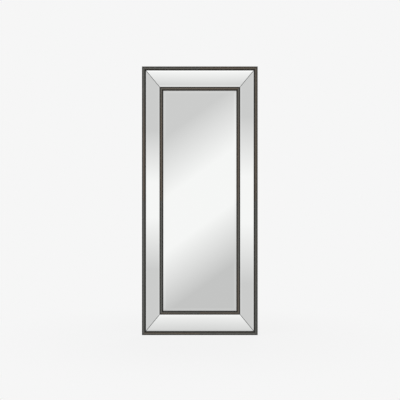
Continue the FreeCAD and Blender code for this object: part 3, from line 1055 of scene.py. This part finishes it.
    @staticmethod
    def scatter_tree() -> bpy.types.NodeTree:
        """Build the tree that sets one screw on each seat, each at its own angle.

        Returns:
            The tree, with its screw, size, seed and material as named inputs.
        """
        tree = bpy.data.node_groups.new("set_screws", "GeometryNodeTree")
        inputs = {
            "Seats": "Geometry",
            "Screw": "Object",
            "Size": "Float",
            "Seed": "Int",
            "Finish": "Material",
        }
        for name, kind in inputs.items():
            tree.interface.new_socket(name, in_out="INPUT", socket_type=f"NodeSocket{kind}")
        tree.interface.new_socket("Screws", in_out="OUTPUT", socket_type="NodeSocketGeometry")
        given = tree.nodes.new("NodeGroupInput")
        result = tree.nodes.new("NodeGroupOutput")
        shape = tree.nodes.new("GeometryNodeObjectInfo")
        angle = tree.nodes.new("FunctionNodeRandomValue")
        angle.data_type = "FLOAT_VECTOR"
        angle.inputs["Min"].default_value = (0.0, 0.0, 0.0)
        angle.inputs["Max"].default_value = (0.0, 2 * math.pi, 0.0)
        scatter = tree.nodes.new("GeometryNodeInstanceOnPoints")
        realize = tree.nodes.new("GeometryNodeRealizeInstances")
        finish = tree.nodes.new("GeometryNodeSetMaterial")
        links = (
            (given.outputs["Screw"], shape.inputs["Object"]),
            (given.outputs["Seed"], angle.inputs["Seed"]),
            (given.outputs["Seats"], scatter.inputs["Points"]),
            (shape.outputs["Geometry"], scatter.inputs["Instance"]),
            (angle.outputs["Value"], scatter.inputs["Rotation"]),
            (given.outputs["Size"], scatter.inputs["Scale"]),
            (scatter.outputs["Instances"], realize.inputs["Geometry"]),
            (realize.outputs["Geometry"], finish.inputs["Geometry"]),
            (given.outputs["Finish"], finish.inputs["Material"]),
            (finish.outputs["Geometry"], result.inputs["Screws"]),
        )
        for start, end in links:
            tree.links.new(start, end)
        return tree

    def build(self) -> None:
        """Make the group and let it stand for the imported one."""
        seats, length = self.seats()
        screw = self.one_screw(length)
        data = bpy.data.meshes.new(f"{self.node}_seats")
        data.from_pydata([tuple(seat) for seat in seats], [], [])
        group = place_object(f"{self.node}_detailed", data)
        tree = self.scatter_tree()
        modifier = group.modifiers.new("set_screws", "NODES")
        modifier.node_group = tree
        settings = {"Screw": screw, "Size": 1.0, "Seed": self.seed, "Finish": self.material}
        for item in tree.interface.items_tree:
            if item.in_out == "INPUT" and item.name in settings:
                modifier[item.identifier] = settings[item.name]
        view = bpy.context.evaluated_depsgraph_get()
        group.data = bpy.data.meshes.new_from_object(group.evaluated_get(view))
        group.modifiers.remove(modifier)
        bpy.data.objects.remove(screw)
        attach(group, ROOT)
        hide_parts(self.node)
        LOG.info("%s: %d screws, %d faces", group.name, len(seats), len(group.data.polygons))


@dataclass(frozen=True)
class MirroredRoom:
    """The studio as mirrors and metal see it: a light band at eye level, greys and a bright ceiling.

    A direction has a rise, its slope over the level, and a turn from straight ahead in radians. Seen from
    the front, the centre plate shows small turns, the side strips large ones and the rail strips steep rises
    or drops, with the bevels between and beyond them. The band's half width and the end of its fade are
    rises too; both are less to the sides, and least on the left. Levels are linear light as the glass shows
    it, so in the end they are divided by the silver's share.
    """

    band: float = grey_light(246)
    above: float = grey_light(204)
    below: float = grey_light(196)
    cornice: float = grey_light(224)
    ceiling: float = grey_light(255)
    skirting: float = grey_light(204)
    overhead: float = grey_light(120)
    ground: float = grey_light(250)
    silver: float = 0.945
    least_level: float = 0.001
    least_ahead: float = 0.05
    centre_plate: Slide = Slide(0.28, 0.34, 1.0, 0.0)
    band_lean: float = 0.72
    band_reach: float = 0.05
    band_edge: float = 0.0332
    band_edge_aside: float = 0.0042
    band_edge_left: float = 0.0075
    band_fade: float = 0.1095
    band_fade_aside: float = 0.0065
    band_fade_left: float = 0.0175
    plate_bevel: Slide = Slide(0.09, 0.13)
    plate_bevel_end: Slide = Slide(0.45, 0.55, 1.0, 0.0)
    strip_bevel: Slide = Slide(0.78, 0.86)
    rail_bevel: Slide = Slide(0.2, 0.26)
    bevel_gain: float = 0.035
    rail_strip: Slide = Slide(0.315, 0.365)
    cornice_end: Slide = Slide(0.4, 0.66, 1.0, 0.0)
    ceiling_start: Slide = Slide(0.7062, 0.7437)
    skirting_start: Slide = Slide(0.7052, 0.745)
    steep: Slide = Slide(1.4, 2.2)
    behind: Slide = Slide(1.7, 2.1)
    back_sky: Slide = Slide(-0.2, 0.8, 0.3, 0.8)
    back_window: Slide = Slide(2.2, 2.5, 0.0, 0.5)
    back_window_end: Slide = Slide(2.75, 2.95, 1.0, 0.0)

    def bevel_light(self, rise: Wire, turn: Wire) -> Wire:
        """Write the little light by which the bevels' directions stand out from the grey."""
        plate = turn.ease(self.plate_bevel) * turn.ease(self.plate_bevel_end)
        return (plate + turn.ease(self.strip_bevel) + abs(rise).ease(self.rail_bevel)) * self.bevel_gain

    def high_and_low(self, grey: Wire, rise: Wire) -> Wire:
        """Lay what is high and low in the room over the grey, from the cornice to the ground.

        Args:
            grey: The light before.
            rise: The direction's rise.

        Returns:
            The light after.
        """
        drop = -rise
        grey = grey.towards(self.cornice, rise.ease(self.rail_strip) * rise.ease(self.cornice_end))
        grey = grey.towards(self.ceiling, rise.ramp(self.ceiling_start))
        grey = grey.towards(self.band, drop.ease(self.rail_strip))
        grey = grey.towards(self.skirting, drop.ramp(self.skirting_start))
        grey = grey.towards(self.overhead, rise.ease(self.steep))
        return grey.towards(self.ground, drop.ease(self.steep))

    def light(self, graph: ShaderGraph) -> Wire:
        """Write the light by direction.

        Args:
            graph: The world's graph.

        Returns:
            The light as a value.
        """
        x, y, z = graph.split(graph.coordinate("Generated"))
        rise = z / ((x * x + y * y) ** 0.5).most(self.least_level)
        turn = graph.math("ARCTAN2", abs(x), -y)
        middle = turn.ease(self.centre_plate)
        aside = 1.0 - middle
        left = (x < 0.0) * aside
        slope = (x / (-y).most(self.least_ahead)).most(-self.band_reach).least(self.band_reach)
        under_band = slope * middle * self.band_lean - rise
        edge = self.band_edge - aside * self.band_edge_aside - left * self.band_edge_left
        fade = self.band_fade - aside * self.band_fade_aside - left * self.band_fade_left
        off_band = ((abs(under_band) - edge) / (fade - edge)).ramp(WHOLE)
        grey = self.above + (self.below - self.above) * middle * (under_band > 0.0)
        grey = self.high_and_low(grey + self.bevel_light(rise, turn), rise)
        front = self.band + (grey - self.band) * off_band
        back = rise.ease(self.back_sky) + turn.ease(self.back_window) * turn.ease(self.back_window_end)
        return front.towards(back, turn.ease(self.behind)) / self.silver


@dataclass(frozen=True)
class Lamp:
    """A soft square lamp that points at the mirror: its place and its side in metres, its power in watts."""

    name: str
    spot: Triple
    side: float
    power: float

    def hang(self) -> None:
        """Hang the lamp, unseen by mirrors and metal."""
        data = bpy.data.lights.new(self.name, "AREA")
        data.shape = "SQUARE"
        data.size = self.side
        data.energy = self.power
        lamp = place_object(self.name, data)
        lamp.location = self.spot
        lamp.rotation_euler = (-Vector(self.spot)).to_track_quat("-Z", "Y").to_euler()
        lamp.visible_glossy = False


@dataclass
class Studio:
    """A pale seamless studio: floor, world, lamps and the camera of the photograph, which looks straight on.

    Sizes are in metres, but the sensor's is in millimetres. lowest is the height of the mirror's lower edge.
    In the photograph the outline is outline_pixels wide and has its middle at centre_pixels, and front_arris
    is how far the edge that draws it stands in front of the wall.
    """

    lowest: float
    outline_width: float
    distance: float = 5.0
    sensor: float = 36.0
    photo_pixels: float = 400.0
    outline_pixels: float = 115.7
    centre_pixels: tuple[float, float] = (199.84, 200.76)
    front_arris: float = 0.0235
    backdrop: float = grey_light(246)
    plain_fill: float = 0.55
    floor_gap: float = 0.0005
    floor_radius: float = 9.0
    floor_sides: int = 96
    floor_paint: Colour = srgb(238, 238, 238)
    floor_melt: Slide = Slide(0.4, 1.5, 0.92, 1.0)
    room: MirroredRoom = MirroredRoom()
    lamps: tuple[Lamp, ...] = (
        Lamp("key_lamp", (-3.2, -2.8, 0.2), 2.4, 85.0),
        Lamp("fill_lamp", (2.6, -3.4, 0.4), 2.4, 25.0),
        Lamp("back_lamp", (1.2, 3.6, 2.8), 2.4, 60.0),
    )

    def camera(self) -> None:
        """Set the photograph's camera."""
        pixel = self.outline_width / self.outline_pixels
        view = pixel * self.photo_pixels
        data = bpy.data.cameras.new("photo_camera")
        data.sensor_width = self.sensor
        data.lens = self.sensor * (self.distance - self.front_arris) / view
        camera = place_object("photo_camera", data)
        middle = self.photo_pixels / 2
        right = (middle - self.centre_pixels[0]) * pixel
        up = (self.centre_pixels[1] - middle) * pixel
        camera.location = (right, -self.distance, up)
        camera.rotation_euler = (math.pi / 2, 0.0, 0.0)
        bpy.context.scene.camera = camera

    def world(self) -> None:
        """Set the world: a flat backdrop for the camera, the studio for reflections and plain fill light."""
        world = bpy.data.worlds.new("pale_studio")
        world.use_nodes = True
        bpy.context.scene.world = world
        graph = ShaderGraph(world.node_tree)
        seen = graph.ray("Is Camera Ray")
        mirrored = graph.ray("Is Glossy Ray").most(graph.ray("Is Transmission Ray"))
        unseen = mirrored * self.room.light(graph) + (1.0 - mirrored) * self.plain_fill
        strength = seen * self.backdrop + (1.0 - seen) * unseen
        light = graph.node("ShaderNodeBackground", {}, {"Color": WHITE, "Strength": strength})
        graph.node("ShaderNodeOutputWorld", {}, {"Surface": light})

    def floor(self) -> None:
        """Lay the floor, which takes a soft shadow near the mirror and melts into the backdrop far out."""
        mesh = bmesh.new()
        bmesh.ops.create_circle(mesh, cap_ends=True, segments=self.floor_sides, radius=self.floor_radius)
        floor = keep_mesh("pale_floor", mesh)
        floor.location.z = self.lowest - self.floor_gap
        material, graph = new_material("pale_floor")
        x, y, _ = graph.split(graph.place())
        far = (x * x + y * y) ** 0.5
        melt = graph.ray("Is Camera Ray") * far.ease(self.floor_melt)
        matt = graph.node("ShaderNodeBsdfDiffuse", {}, {"Color": self.floor_paint})
        plain = graph.node("ShaderNodeEmission", {}, {"Color": WHITE, "Strength": self.backdrop})
        mixed = graph.node("ShaderNodeMixShader", {}, {0: melt, 1: matt, 2: plain})
        graph.node("ShaderNodeOutputMaterial", {}, {"Surface": mixed})
        floor.data.materials.append(material)
        floor.visible_glossy = False

    def build(self) -> None:
        """Set the whole studio."""
        bpy.context.scene.view_settings.view_transform = "Standard"
        self.camera()
        self.world()
        self.floor()
        for lamp in self.lamps:
            lamp.hang()


def main() -> None:
    """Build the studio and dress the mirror."""
    logging.basicConfig(level=logging.INFO, format="%(name)s: %(message)s")
    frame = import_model()
    outer = MouldingPlan.read("outer_moulding")
    inner = MouldingPlan.read("inner_moulding")
    Studio(lowest=-outer.half_height, outline_width=2 * outer.half_width).build()
    MirrorPlates(frame).dress()
    BeadMouldings(frame, outer, inner).dress()
    materials = BackWorks(frame, outer, inner).dress()
    for seed, node in enumerate(SCREW_NODES, start=1):
        PanHeadScrews(frame, node, materials[Finish.ZINC], seed).build()


if __name__ == "__main__":
    main()
